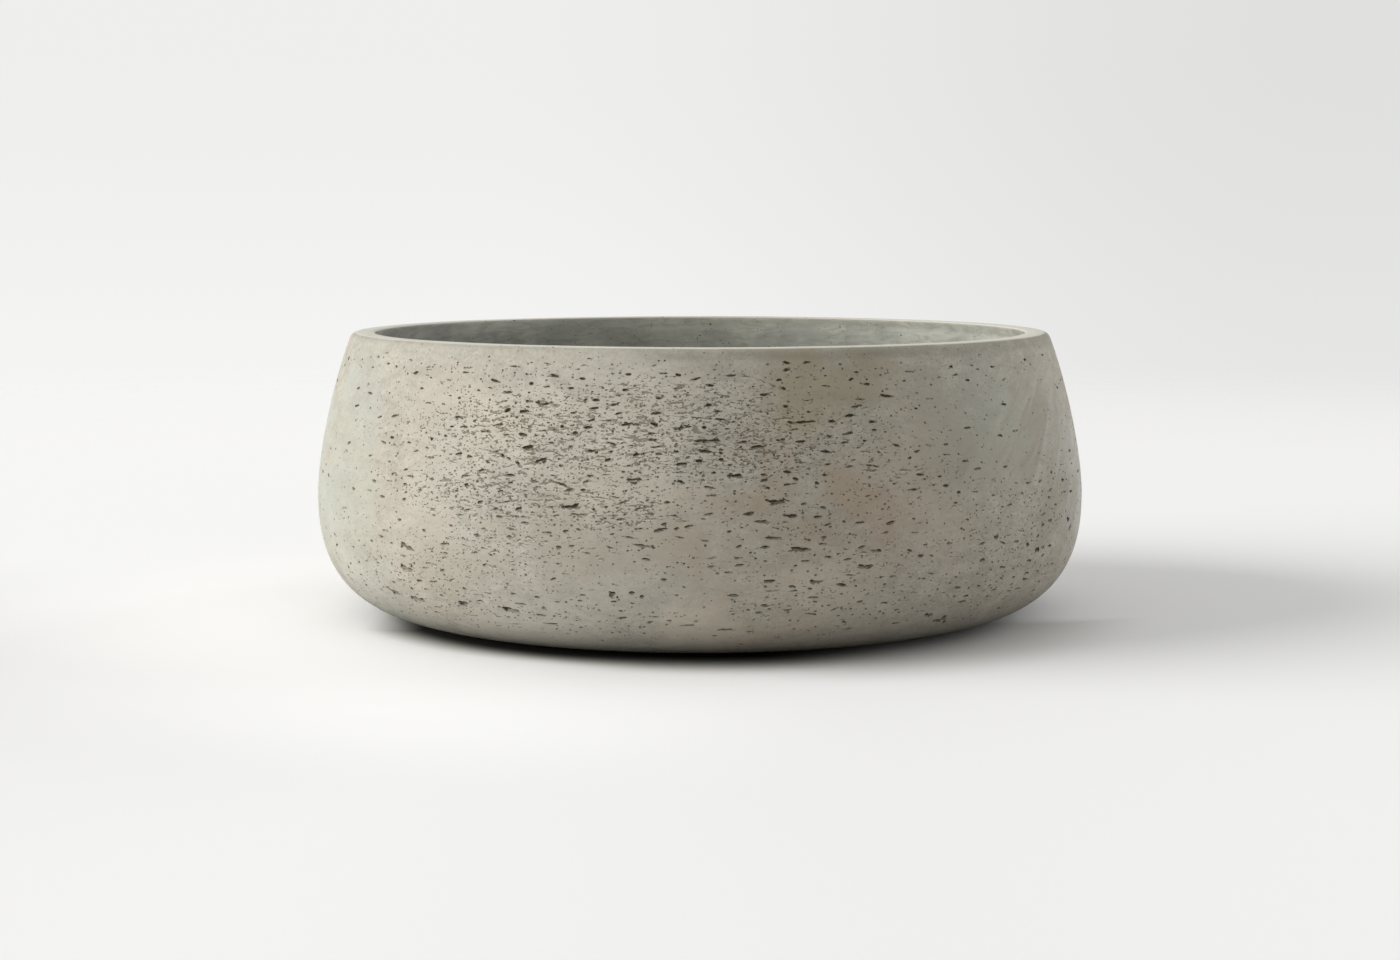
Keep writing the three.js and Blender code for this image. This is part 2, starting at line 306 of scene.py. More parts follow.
def turn(points, steps, closed):
    """Turns an outline about +Z and closes it into one skin with its normals outward."""
    bm = bmesh.new()
    verts = [bm.verts.new(point) for point in points]
    edges = [bm.edges.new(pair) for pair in zip(verts, verts[1:])]
    if closed:
        edges.append(bm.edges.new((verts[-1], verts[0])))
    whole_turn = {"cent": (0, 0, 0), "axis": (0, 0, 1), "angle": math.tau, "steps": steps}
    bmesh.ops.spin(bm, geom=verts + edges, use_merge=True, use_duplicate=False, **whole_turn)
    bmesh.ops.remove_doubles(bm, verts=bm.verts, dist=1e-6)
    bmesh.ops.recalc_face_normals(bm, faces=bm.faces)
    bm.normal_update()
    return bm


class Outside:
    """The outside of the bowl from the foot to the lip, found by height."""

    def __init__(self, sizes, low, top, wide_radius):
        """Draws the heel and the shoulder."""
        self.widest = wide_radius
        upper = shoulder(sizes, top, wide_radius, sizes.lip_radius, sizes.lip_outer_round, 24)
        self.points = heel(sizes, low, wide_radius, 26) + upper[1:]
        self.lowest, self.highest = low + 0.0001, top - sizes.lip_outer_round

    def at(self, height):
        """The radius at a height, and the unit step up the wall as (outward, upward)."""
        for a, b in zip(self.points, self.points[1:]):
            if a.z <= height <= b.z:
                break
        share = clamp((height - a.z) / (b.z - a.z))
        return a.x + (b.x - a.x) * share, (b - a).normalized()

    def beside(self, place):
        """The same, next to a place that may lie a little below the wall's foot or above its top."""
        return self.at(clamp(place.z, self.lowest, self.highest))


def bowl_outline(sizes, outside, low, top):
    """The closed outline: heel, shoulder, lip, inside, floor, seat, drain hole and underside."""
    inner_lip = sizes.lip_radius - sizes.wall
    inner_belly = outside.widest - sizes.wall
    floor = low + sizes.floor_thickness
    inner_shoulder = shoulder(sizes, top, inner_belly, inner_lip, sizes.lip_inner_round, 12)
    inner_heel = heel(sizes, floor, inner_belly, 12)
    outer_edge = lip_edge(outside.points[-1], sizes.lip_radius, top, sizes.lip_outer_round, 1, 5)
    inner_edge = lip_edge(inner_shoulder[-1], inner_lip, top, sizes.lip_inner_round, -1, 4)
    seat = floor - sizes.seat_depth
    kick = low + sizes.kick_depth
    kick_radius = sizes.foot_radius - sizes.foot_ring
    drain, edge = sizes.drain_radius, sizes.drain_edge
    middle = (
        *[(sizes.foot_radius * share, floor) for share in (0.75, 0.5, 0.28)],
        (sizes.seat_radius + sizes.seat_edge, floor),
        (sizes.seat_radius, floor - sizes.seat_edge),
        (sizes.seat_radius, seat),
        (drain + edge, seat),
        (drain, seat - edge),
        (drain, kick + edge),
        (drain + edge, kick),
        (kick_radius - sizes.kick_slope, kick),
        (kick_radius, low),
    )
    return [
        *outside.points,
        *outer_edge[1:],
        *reversed(inner_edge),
        *reversed(inner_shoulder[:-1]),
        *reversed(inner_heel[:-1]),
        *[spot(*pair) for pair in middle],
    ]


def plug_outline(sizes, low):
    """The plug's outline, from the roof of its hollow round the stem, the head and the neck to the knob."""
    stem, core, neck, lead = sizes.stem_radius, sizes.core_radius, sizes.neck_radius, sizes.lead
    head = low + sizes.stem_length
    roof = head - sizes.core_roof
    pitch = (sizes.stem_length - lead) / (sizes.ribs + 1)
    points = [(0, roof), (core, roof), (core, low), (stem - lead / 2, low), (stem, low + lead)]
    for i in range(1, sizes.ribs + 1):
        rib = low + lead + i * pitch
        points += [(stem, rib - pitch / 2), (stem + sizes.rib_height, rib), (stem, rib + pitch / 4)]
    points += [(stem, head), (sizes.head_radius, head)]
    head_top, head_round = head + sizes.head_thickness, sizes.head_round
    knob_round = sizes.knob_thickness / 2
    knob = head_top + sizes.knob_lift + knob_round
    right = math.pi / 2
    return [
        *[spot(*pair) for pair in points],
        *arc(sizes.head_radius - head_round, head_top - head_round, head_round, 0, right, 8),
        spot(neck + sizes.neck_root, head_top),
        spot(neck, head_top + sizes.neck_root),
        spot(neck, knob - knob_round),
        *arc(sizes.knob_radius - knob_round, knob, knob_round, -right, right, 14),
        spot(0, knob + knob_round),
    ]


# ---- Pits ----


def porosity(bearing, height):
    """How full of pits the outside is there, from 0 to 1. The bearing is in radians from the camera."""
    degrees = math.degrees(bearing)
    front = 0
    for patch_bearing, patch_height, half_width, half_height, full in PATCHES:
        across = (degrees - patch_bearing) / half_width
        up = (height * 1000 - patch_height) / half_height
        front = max(front, full * math.exp(-(across * across + up * up) * PATCH_FALL))
    place = Vector((math.sin(bearing), -math.cos(bearing), height * 9))
    cloud = noise.fractal(place * 1.4 + Vector((3, 5, 1)), 1, 2, 3)
    back = clamp(0.05 + 0.32 * cloud, 0.01, 0.4)
    side = clamp((abs(degrees) - SIDE_FROM) / SIDE_FADE)
    edge = clamp((PITS_TO - height) / FADE_HIGH) * clamp((height - PITS_FROM) / FADE_LOW)
    return (front * (1 - side) + back * side) * edge


class Pit:
    """One air pit: where it lies, how large it is and how it leans."""

    # How far a pit's middle stands out of the wall, as a share of its half depth.
    PROUD = 0.15

    def __init__(self, outside, bearing, height, half_length, half_height, half_depth, tilt):
        """Sets the pit's three half sizes along the wall, up it and into it."""
        self.radius, along = outside.at(height)
        self.bearing, self.height = bearing, height
        self.half_length, self.half_height, self.half_depth = half_length, half_height, half_depth
        around = Vector((math.cos(bearing), math.sin(bearing), 0))
        outward = Vector((math.sin(bearing), -math.cos(bearing), 0))
        up = outward * along.x + spot(0, along.z)
        self.normal = around.cross(up)
        if self.normal.dot(outward) < 0:
            self.normal.negate()
        self.side = around * math.cos(tilt) + up * math.sin(tilt)
        self.up = up * math.cos(tilt) - around * math.sin(tilt)
        self.centre = outward * self.radius + spot(0, height) + self.normal * (half_depth * self.PROUD)

    def matrix(self):
        """Turns a ball of radius 1 into the pit."""
        columns = (self.side * self.half_length, self.up * self.half_height, self.normal * self.half_depth)
        matrix = Matrix(columns).transposed().to_4x4()
        matrix.translation = self.centre
        return matrix


class PitField:
    """Pits that keep clear of each other."""

    CELL = 0.012
    TRIES = 60

    def __init__(self, room):
        """Starts an empty field whose pits keep this much room between them."""
        self.room, self.cells, self.pits = room, {}, []

    def cell(self, pit):
        """The square of the field that a pit lies in."""
        return (int(pit.bearing * pit.radius // self.CELL), int(pit.height // self.CELL))

    def near(self, column, row):
        """The pits in the nine squares round one."""
        squares = [(column + i, row + j) for i in (-1, 0, 1) for j in (-1, 0, 1)]
        return [entry for square in squares for entry in self.cells.get(square, ())]

    def add(self, pit, reach):
        """Adds a pit if it keeps clear of the others. reach is how far a ragged pit may swell."""
        square = self.cell(pit)
        for other, other_reach in self.near(*square):
            wide = pit.half_length * reach + other.half_length * other_reach + self.room
            high = pit.half_height * reach + other.half_height * other_reach + self.room
            across = abs(pit.bearing - other.bearing) * pit.radius
            if across < wide and abs(pit.height - other.height) < high:
                return False
        self.cells.setdefault(square, []).append((pit, reach))
        self.pits.append(pit)
        return True

    def scatter(self, outside, rng, wanted, lengths, heights, reach):
        """Adds pits at random places, most where the porosity is high, and returns them."""
        before = len(self.pits)
        tries = 0
        while len(self.pits) < before + wanted and tries < wanted * self.TRIES:
            tries += 1
            bearing = rng.uniform(-math.pi, math.pi)
            height = rng.uniform(PITS_FROM, PITS_TO)
            if rng.random() > porosity(bearing, height) + STRAY_PITS:
                continue
            half_length = rng.uniform(*lengths) * rng.uniform(0.7, 1) / 2
            half_height = min(rng.uniform(*heights) / 2, half_length)
            tilt = rng.gauss(0, 0.14)
            self.add(Pit(outside, bearing, height, half_length, half_height, half_height * 1.15, tilt), reach)
        return self.pits[before:]


def lay_out_pits(sizes, outside):
    """The main pits, the medium ones, the small ones, and two layers of spurs that fray the main ones."""
    rng = random.Random(sizes.seed)
    field = PitField(sizes.sideways)
    reach = 1 + sizes.raggedness / 2
    for bearing, height, long, high, tilt in MAIN_PITS:
        halves = (long / 2000, high / 2000, high / 2000 * 1.2)
        pit = Pit(outside, math.radians(bearing), height / 1000, *halves, math.radians(tilt))
        field.add(pit, reach)
    mains = list(field.pits)
    medium = field.scatter(outside, rng, sizes.medium, (0.003, 0.009), (0.0011, 0.002), reach)
    small = field.scatter(outside, rng, sizes.small, (0.0014, 0.003), (0.001, 0.0017), 1)
    spurs = []
    for _ in range(2):
        layer = PitField(sizes.sideways)
        for pit in mains * 4:
            spur = Pit(
                outside,
                pit.bearing + rng.uniform(-1.1, 1.1) * pit.half_length / pit.radius,
                pit.height + rng.uniform(-1.2, 1.2) * pit.half_height,
                pit.half_length * rng.uniform(0.2, 0.42),
                pit.half_height * rng.uniform(0.45, 0.8),
                pit.half_depth * rng.uniform(0.4, 0.8),
                rng.gauss(0, 0.35),
            )
            layer.add(spur, 1.2)
        spurs.append(layer.pits)
    return mains, medium, small, spurs


def foot_pockets(sizes, low):
    """Cutters for the shallow pockets that the feet are glued into."""
    bm = bmesh.new()
    tall = sizes.pocket_depth + low / 2
    for name in FEET:
        foot_low, foot_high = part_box(name)
        middle = (foot_low + foot_high) / 2
        radius = (foot_high.x - foot_low.x) / 2 + sizes.pocket_gap
        cylinder(bm, (middle.x, middle.y, low + sizes.pocket_depth - tall / 2), radius, tall, POCKET_STEPS)
    return as_mesh(bm, "foot_pockets")


def cutters(name, pits, fineness, raggedness):
    """One mesh of balls drawn out to the pits' shapes, roughened so that no edge is a clean ellipse."""
    whole = bmesh.new()
    for start in range(0, len(pits), CUTTER_BATCH):
        batch = bmesh.new()
        for pit in pits[start : start + CUTTER_BATCH]:
            ball = bmesh.ops.create_icosphere(batch, subdivisions=fineness, radius=1, matrix=pit.matrix())
            for vert in ball["verts"]:
                vert.co += (vert.co - pit.centre) * noise.noise(vert.co * ROUGHNESS_PER_METRE) * raggedness
        part = as_mesh(batch, "part")
        whole.from_mesh(part)
        bpy.data.meshes.remove(part)
    return as_mesh(whole, name)


def join(name, meshes):
    """One mesh from several. Its second material marks the faces that it leaves in the bowl."""
    whole = bmesh.new()
    for mesh in meshes:
        whole.from_mesh(mesh)
        bpy.data.meshes.remove(mesh)
    bmesh.ops.recalc_face_normals(whole, faces=whole.faces)
    for face in whole.faces:
        face.material_index = 1
    joined = as_mesh(whole, name)
    joined.materials.append(None)
    joined.materials.append(bpy.data.materials.get("pit_marker") or bpy.data.materials.new("pit_marker"))
    return joined


def cut(obj, mesh):
    """Takes the cutters out of the object's mesh."""
    cutter = put_in_scene("cutter", mesh)
    modifier = obj.modifiers.new("cut", "BOOLEAN")
    modifier.operation = "DIFFERENCE"
    modifier.solver = "MANIFOLD"
    modifier.material_mode = "TRANSFER"
    modifier.object = cutter
    graph = bpy.context.evaluated_depsgraph_get()
    result = bpy.data.meshes.new_from_object(obj.evaluated_get(graph))
    obj.modifiers.remove(modifier)
    old = obj.data
    if len(result.polygons) <= len(old.polygons):
        raise RuntimeError(f"{mesh.name} could not be cut out of {obj.name}")
    obj.data = result
    bpy.data.meshes.remove(old)
    bpy.data.objects.remove(cutter)
    bpy.data.meshes.remove(mesh)


# ---- Nodes ----

FLOAT, VECTOR, COLOUR = "NodeSocketFloat", "NodeSocketVector", "NodeSocketColor"


class Value:
    """What a node gives out. Plain arithmetic on it adds maths nodes to its tree."""

    def __init__(self, net, socket):
        """Keeps the socket and the net that it is in."""
        self.net, self.socket = net, socket

    def __add__(self, other):
        """The sum."""
        return self.net.maths("ADD", self, other)

    def __sub__(self, other):
        """The difference."""
        return self.net.maths("SUBTRACT", self, other)

    def __rsub__(self, other):
        """A plain number less this."""
        return self.net.maths("SUBTRACT", other, self)

    def __mul__(self, other):
        """The product."""
        return self.net.maths("MULTIPLY", self, other)

    def most(self, other):
        """The larger of the two."""
        return self.net.maths("MAXIMUM", self, other)

    def ramp(self, low, high, to_low=0.0, to_high=1.0):
        """A smooth step from to_low to to_high as this goes from low to high."""
        inputs = {"Value": self, "From Min": low, "From Max": high, "To Min": to_low, "To Max": to_high}
        return self.net.put("MapRange", inputs, interpolation_type="SMOOTHSTEP")


class Net:
    """A tree of shader nodes, filled one node at a time."""

    def __init__(self, tree):
        """Takes over a tree."""
        self.tree = tree

    def fill(self, node, inputs):
        """Gives each listed input of a node a plain value, or joins a value to it."""
        for name, value in inputs.items():
            socket = node.inputs[name]
            if isinstance(value, Value):
                self.tree.links.new(value.socket, socket)
            elif socket.type == "RGBA":
                socket.default_value = (*value, 1)
            else:
                socket.default_value = value

    def node(self, kind, inputs, **settings):
        """Adds a node."""
        node = self.tree.nodes.new("ShaderNode" + kind)
        for name, value in settings.items():
            setattr(node, name, value)
        self.fill(node, inputs)
        return node

    def put(self, kind, inputs, out=0, **settings):
        """Adds a node and gives one of its outputs."""
        return Value(self, self.node(kind, inputs, **settings).outputs[out])

    def parts(self, kind, inputs):
        """Adds a node and gives all its outputs."""
        return [Value(self, socket) for socket in self.node(kind, inputs).outputs]

    def xyz(self, vector):
        """The three parts of a vector."""
        return self.parts("SeparateXYZ", {"Vector": vector})

    def maths(self, operation, a, b, clamped=False):
        """One sum."""
        return self.put("Math", {0: a, 1: b}, operation=operation, use_clamp=clamped)

    def tint(self, share, under, over, how="MIX"):
        """Lays one colour over another."""
        settings = {"data_type": "RGBA", "blend_type": how, "clamp_factor": True}
        return self.put("Mix", {0: share, 6: under, 7: over}, 2, **settings)

    def shade(self, colour, light):
        """Makes a colour as light as a value says."""
        grey = self.put("CombineColor", {"Red": light, "Green": light, "Blue": light})
        return self.tint(1.0, colour, grey, "MULTIPLY")

    def cloud(self, place, scale, detail, roughness, distortion=0.0):
        """A noise texture's value."""
        inputs = {"Vector": place, "Scale": scale, "Detail": detail}
        return self.put("TexNoise", {**inputs, "Roughness": roughness, "Distortion": distortion})

    def stretch(self, place, scale, move=(0, 0, 0)):
        """Moves and stretches coordinates."""
        return self.put("Mapping", {"Vector": place, "Scale": scale, "Location": move})

    def bump(self, height, distance, strength):
        """A normal that leans as a height says."""
        return self.put("Bump", {"Height": height, "Distance": distance, "Strength": strength})

    def upward(self):
        """How far the surface looks up, from -1 to 1."""
        return self.xyz(self.put("NewGeometry", {}, "Normal"))[2]

    def seen(self):
        """1 where the picture looks at a surface itself or by way of a shiny one, and 0 for other light."""
        camera, glossy, through = [
            self.put("LightPath", {}, f"Is {kind} Ray") for kind in ("Camera", "Glossy", "Transmission")
        ]
        return camera.most(glossy.most(through))

    def use(self, made, **inputs):
        """Adds a node group and gives its output."""
        return self.put("Group", inputs, node_tree=made)

    def close(self, value):
        """Ends a node group with what it gives out, and returns its tree."""
        self.fill(self.tree.nodes.new("NodeGroupOutput"), {0: value})
        return self.tree


def group(name, gives, kind, **takes):
    """Starts a node group. Returns its net and the values that it takes."""
    tree = bpy.data.node_groups.new(name, "ShaderNodeTree")
    for label, taken in takes.items():
        tree.interface.new_socket(label, in_out="INPUT", socket_type=taken)
    tree.interface.new_socket(gives, in_out="OUTPUT", socket_type=kind)
    net = Net(tree)
    start = tree.nodes.new("NodeGroupInput")
    return net, [Value(net, start.outputs[label]) for label in takes]


def principled(name):
    """A new material, its net, its shader and its object coordinates."""
    material = bpy.data.materials.new(name)
    material.use_nodes = True
    net = Net(material.node_tree)
    return material, net, net.tree.nodes["Principled BSDF"], net.put("TexCoord", {}, "Object")


# ---- Cement ----

# Its colours, as linear red, green and blue.
CEMENT = (0.402, 0.385, 0.33)
WARM_CLOUDS, COOL_CLOUDS = (0.46, 0.385, 0.305), (0.38, 0.39, 0.34)
MARBLING, SMEARS = (0.85, 0.85, 0.855), (0.89, 0.885, 0.875)
BRUSH_MARKS, LEVEL_MARKS = (0.29, 0.265, 0.215), (0.33, 0.295, 0.235)
INSIDE_DARK, INSIDE_PALE, WIPED = (0.372, 0.378, 0.34), (0.50, 0.50, 0.445), (0.235, 0.238, 0.203)
# The first colour is painted shade under the lip's outer rounding; the second is the lip's own paler colour.
UNDER_LIP_SHADE, LIP = (0.15, 0.135, 0.09), (0.66, 0.64, 0.565)
# Painted light and shade for the shallow hollows: a painted highlight on their lower edges and painted shade
# inside them.
LIT_HOLLOW_EDGES, HOLLOW_SHADE = (0.56, 0.54, 0.47), (0.128, 0.103, 0.066)
# Painted shade: the dark colours of the pits and the pinholes stand in for the shade inside them.
PIT_SHADE, PINHOLE_SHADE = (0.052, 0.041, 0.023), (0.108, 0.089, 0.06)

# The stains on the wall, and two patches of painted light: bearing, height, reach, how much wider than high,
# colour and strength.
STAINS_AND_LIGHT_PATCHES = (
    (-84, 100, 66, 0.7, (0.38, 0.40, 0.35), 0.7), (-60, 85, 60, 0.7, (0.37, 0.385, 0.335), 0.55),
    (-36, 112, 46, 0.9, (0.44, 0.408, 0.352), 0.55), (-42, 62, 50, 1.1, (0.42, 0.39, 0.335), 0.4),
    (-12, 48, 60, 1.4, (0.345, 0.34, 0.285), 0.4), (19, 144, 44, 1.6, (0.265, 0.24, 0.16), 0.7),
    (30, 96, 60, 1.1, (0.42, 0.35, 0.27), 0.5), (46, 122, 42, 0.9, (0.34, 0.35, 0.30), 0.6),
    (66, 112, 44, 0.7, (0.38, 0.39, 0.36), 0.5), (14, 24, 70, 2.0, (0.40, 0.34, 0.27), 0.45),
    (-14, 74, 64, 1.6, (0.31, 0.275, 0.225), 0.5), (14, 76, 62, 1.6, (0.31, 0.25, 0.18), 0.6),
    # The first entry on the next line is painted light: the heel on the left made paler, where light thrown
    # up from the floor falls.
    (-24, 12, 60, 2.4, (0.50, 0.475, 0.41), 0.6), (-38, 44, 30, 1.2, (0.33, 0.305, 0.25), 0.6),
    (-10, 126, 52, 1.2, (0.50, 0.465, 0.39), 0.55), (0, 20, 34, 1.8, (0.52, 0.475, 0.395), 0.5),
    (-26, 124, 34, 1.2, (0.50, 0.465, 0.39), 0.4), (-62, 40, 32, 1.0, (0.46, 0.45, 0.39), 0.45),
    # The first entry on the next line is painted light: the right edge made paler, where a rim of light
    # falls.
    (78, 76, 36, 0.6, (0.52, 0.515, 0.47), 0.65), (17, 44, 38, 1.3, (0.50, 0.455, 0.375), 0.45),
    (38, 114, 46, 1.2, (0.31, 0.29, 0.24), 0.5), (150, 90, 80, 0.9, (0.37, 0.38, 0.33), 0.5),
    (-130, 70, 70, 0.9, (0.44, 0.38, 0.31), 0.5), (105, 60, 60, 1.2, (0.43, 0.37, 0.29), 0.4),
)


def cloudy_patch_group():
    """A patch with a cloudy edge round one place on the surface."""
    net, (place, centre, reach, squash) = group(
        "Cloudy patch", "Mask", FLOAT, Place=VECTOR, Centre=VECTOR, Reach=FLOAT, Squash=FLOAT
    )
    x, y, z = net.xyz(net.put("VectorMath", {0: place, 1: centre}, operation="SUBTRACT"))
    flat = net.put("CombineXYZ", {"X": x, "Y": y, "Z": z * squash})
    far = net.put("VectorMath", {0: flat}, "Value", operation="LENGTH")
    wander = (net.cloud(place, 26, 5, 0.6, 0.4) - 0.5) * 2.6
    return net.close((net.maths("DIVIDE", far, reach) + wander).ramp(1.15, 0.25))


def mottle_group():
    """The cloudy body of the cement: slow patches of hue and finer grey marbling."""
    net, (place, colour) = group("Cement mottle", "Color", COLOUR, Place=VECTOR, Cement=COLOUR)
    broad = net.cloud(net.stretch(place, (1, 1, 1.3)), 9, 3, 0.5, 0.3)
    cool = net.cloud(net.stretch(place, (1, 1, 1.6), (4, 2, 7)), 12, 4, 0.55, 0.5)
    marble = net.cloud(net.stretch(place, (1, 1, 2.2)), 45, 6, 0.65, 0.6)
    smear = net.cloud(net.stretch(place, (1, 1, 1.8), (2, 9, 4)), 105, 5, 0.62, 1.2)
    colour = net.tint(broad.ramp(0.42, 0.66, 0, 0.3), colour, WARM_CLOUDS)
    colour = net.tint(cool.ramp(0.48, 0.68, 0, 0.4), colour, COOL_CLOUDS)
    colour = net.tint(marble.ramp(0.38, 0.62), colour, MARBLING, "MULTIPLY")
    colour = net.tint(smear.ramp(0.42, 0.64), colour, SMEARS, "MULTIPLY")
    speck = net.cloud(place, 700, 3, 0.6)
    return net.close(net.shade(colour, speck.ramp(0.3, 0.7, 0.9, 1.1)))


def pinhole_group():
    """Air holes too small to model: a round mask at some of the cells of a Voronoi pattern."""
    net, (place, scale, fullness, size) = group(
        "Pinholes", "Mask", FLOAT, Place=VECTOR, Scale=FLOAT, Fullness=FLOAT, Size=FLOAT
    )
    flat = net.stretch(place, (1, 1, 1.5))
    distance, cell = net.parts("TexVoronoi", {"Vector": flat, "Scale": scale, "Randomness": 0.8})[:2]
    chance, swell, _ = net.parts("SeparateColor", {"Color": cell})
    inside = size * swell.ramp(0, 1, 0.55, 1.3) - distance
    return net.close(inside.ramp(0, 0.08) * net.maths("LESS_THAN", chance, fullness))


def hollow_group():
    """Ragged shallow hollows, drawn out along the wall: where stretched noise rises above a limit."""
    net, (place, scale, fullness) = group(
        "Shallow hollows", "Mask", FLOAT, Place=VECTOR, Scale=FLOAT, Fullness=FLOAT
    )
    ragged = net.cloud(net.stretch(place, (1, 1, 2.8)), scale, 4, 0.64, 0.35)
    limit = fullness.ramp(-0.3, 0.85, 0.735, 0.582)
    return net.close((ragged - limit).ramp(0, 0.035))


def streak_group():
    """Brush marks across the wall at one slant, drawn on the wall as if it were unrolled."""
    net, (place, slant, fineness) = group(
        "Brush streaks", "Mask", FLOAT, Place=VECTOR, Slant=FLOAT, Fineness=FLOAT
    )
    x, y, z = net.xyz(place)
    around = net.maths("ARCTAN2", x, y * -1)
    unrolled = net.put("CombineXYZ", {"X": around * 0.21, "Y": z})
    turned = net.put("VectorRotate", {"Vector": unrolled, "Angle": slant}, rotation_type="Z_AXIS")
    marks = net.cloud(net.stretch(turned, (1, 4.5, 1)), fineness, 5, 0.62, 1.1)
    return net.close(marks.ramp(0.40, 0.66))


def grain_group():
    """The fine sandy grain of cast cement, as a height."""
    net, (place,) = group("Cement grain", "Height", FLOAT, Place=VECTOR)
    trowel = net.cloud(net.stretch(place, (1, 1, 3)), 120, 5, 0.6)
    return net.close(net.cloud(place, 1100, 4, 0.65) * 0.35 + trowel)


def cement(outside):
    """Fibre cement: cloudy, stained, pinholed and finely grained, pale on its lip, with painted shade in its
    pits, pinholes and hollows, inside the bowl and under the lip, and painted light on the left of the heel,
    at the right edge and below its hollows.
    """
    material, net, shader, place = principled("fibre_cement")
    full, depth, pit, within, lip = [
        net.put("Attribute", {}, "Fac", attribute_name=name)
        for name in ("porosity", "pit_depth", "pit", "inside", "lip")
    ]
    x, y, z = net.xyz(place)
    cloudy_patch, streaks, pinhole, hollow = cloudy_patch_group(), streak_group(), pinhole_group(), hollow_group()

    def patch_at(bearing, height, reach, squash):
        """The mask of one patch on the wall: a stain, a patch of painted light, or the spread of the brush
        marks.
        """
        radius, _ = outside.at(height / 1000)
        around = math.radians(bearing)
        centre = (radius * math.sin(around), -radius * math.cos(around), height / 1000)
        return net.use(cloudy_patch, Place=place, Centre=centre, Reach=reach / 1000, Squash=squash)

    def brushed(slant, fineness):
        """Brush marks at a slant in degrees."""
        return net.use(streaks, Place=place, Slant=math.radians(slant), Fineness=fineness)

    colour = net.use(mottle_group(), Place=place, Cement=CEMENT)
    # Stains, and two patches of painted light.
    for bearing, height, reach, squash, patch_colour, strength in STAINS_AND_LIGHT_PATCHES:
        colour = net.tint(patch_at(bearing, height, reach, squash) * strength, colour, patch_colour)
    colour = net.tint(brushed(-40, 17) * patch_at(57, 108, 75, 1) * 0.85, colour, BRUSH_MARKS)
    colour = net.tint(brushed(4, 22) * z.ramp(0.003, 0.02, 0, 0.24), colour, LEVEL_MARKS)

    inner = net.tint(net.cloud(place, 34, 6, 0.66, 0.4).ramp(0.34, 0.68), INSIDE_DARK, INSIDE_PALE)
    inner = net.tint(brushed(1, 48) * z.ramp(0.021, 0.06, 0, 0.48), inner, WIPED)
    # Painted shade and light inside the bowl: darker towards the left, where the inner wall faces away from
    # the light, a touch darker at the right, and lighter near the lip at the back.
    lighter_near_lip = z.ramp(0.15, 0.163) * y.ramp(0.08, 0.16) * x.ramp(0.06, 0.16, 0.3, 0)
    painted_inside_shade = (x.ramp(-0.21, -0.05, 0.66, 1) + lighter_near_lip) * x.ramp(0.02, 0.11, 1, 0.97)
    colour = net.tint(within, colour, net.shade(inner, painted_inside_shade))
    # Painted shade under the lip's outer rounding, on the right of the bowl.
    colour = net.tint(z.ramp(0.157, 0.1605, 0, 0.26) * x.ramp(-0.08, 0.02), colour, UNDER_LIP_SHADE)
    colour = net.tint(lip * 0.75, colour, LIP)

    fine = net.use(pinhole, Place=place, Scale=290, Fullness=full.ramp(0, 1, 0.03, 1), Size=0.21)
    finer = net.use(pinhole, Place=place, Scale=520, Fullness=full.ramp(0, 1, 0.17, 0.7), Size=0.21)
    pinholes = fine.most(finer)
    above = net.stretch(place, (1, 1, 1), (0, 0, 0.0008))
    aside = net.stretch(place, (1, 1, 1), (5, 3, 2))
    broad = net.use(hollow, Place=place, Scale=170, Fullness=full)
    over = net.use(hollow, Place=above, Scale=170, Fullness=full)
    narrow = net.use(hollow, Place=aside, Scale=330, Fullness=full)
    ragged = (broad * 0.8).most(narrow * 0.85)
    # Painted shade in the pits: darker the deeper a point lies, with a ragged edge, and less dark on facets
    # that look up towards the light.
    crumbled = net.cloud(net.stretch(place, (1, 1, 1.5)), 750, 3, 0.6) - 0.5
    sunk = (depth + crumbled * 0.0024).ramp(0.00002, 0.00045, 0.15, 1)
    leaning = z.ramp(0.02, 0.165, -0.5, 0.36)
    facing_shade = (net.upward() - leaning).ramp(0.15, 0.55, 1, 0.45)
    # Painted highlight just below each shallow hollow, where its lower edge faces the light, then painted
    # shade inside the hollows.
    colour = net.tint(net.maths("SUBTRACT", over, broad, True) * 0.4, colour, LIT_HOLLOW_EDGES)
    colour = net.tint(ragged * 0.85, colour, HOLLOW_SHADE)
    colour = net.tint(pit * sunk * facing_shade, colour, PIT_SHADE)
    # Painted shade in the pinholes, which the mesh does not cut.
    colour = net.tint(pinholes * 0.9, colour, PINHOLE_SHADE)

    height = net.use(grain_group(), Place=place) * 0.12 - pinholes.most(ragged)
    normal = net.bump(height, 0.0009, 0.8)
    net.fill(shader, {"Base Color": colour, "Roughness": 0.86, "Specular IOR Level": 0.3, "Normal": normal})
    return material


# ---- Rubber ----


def dust_group():
    """Pale dust that settles on faces that look up."""
    net, (place, amount) = group("Dust", "Mask", FLOAT, Place=VECTOR, Amount=FLOAT)
    patchy = net.cloud(place, 260, 6, 0.7).ramp(0.38, 0.66, 0.3, 1)
    return net.close(net.upward().ramp(0.1, 0.95) * patchy * amount)


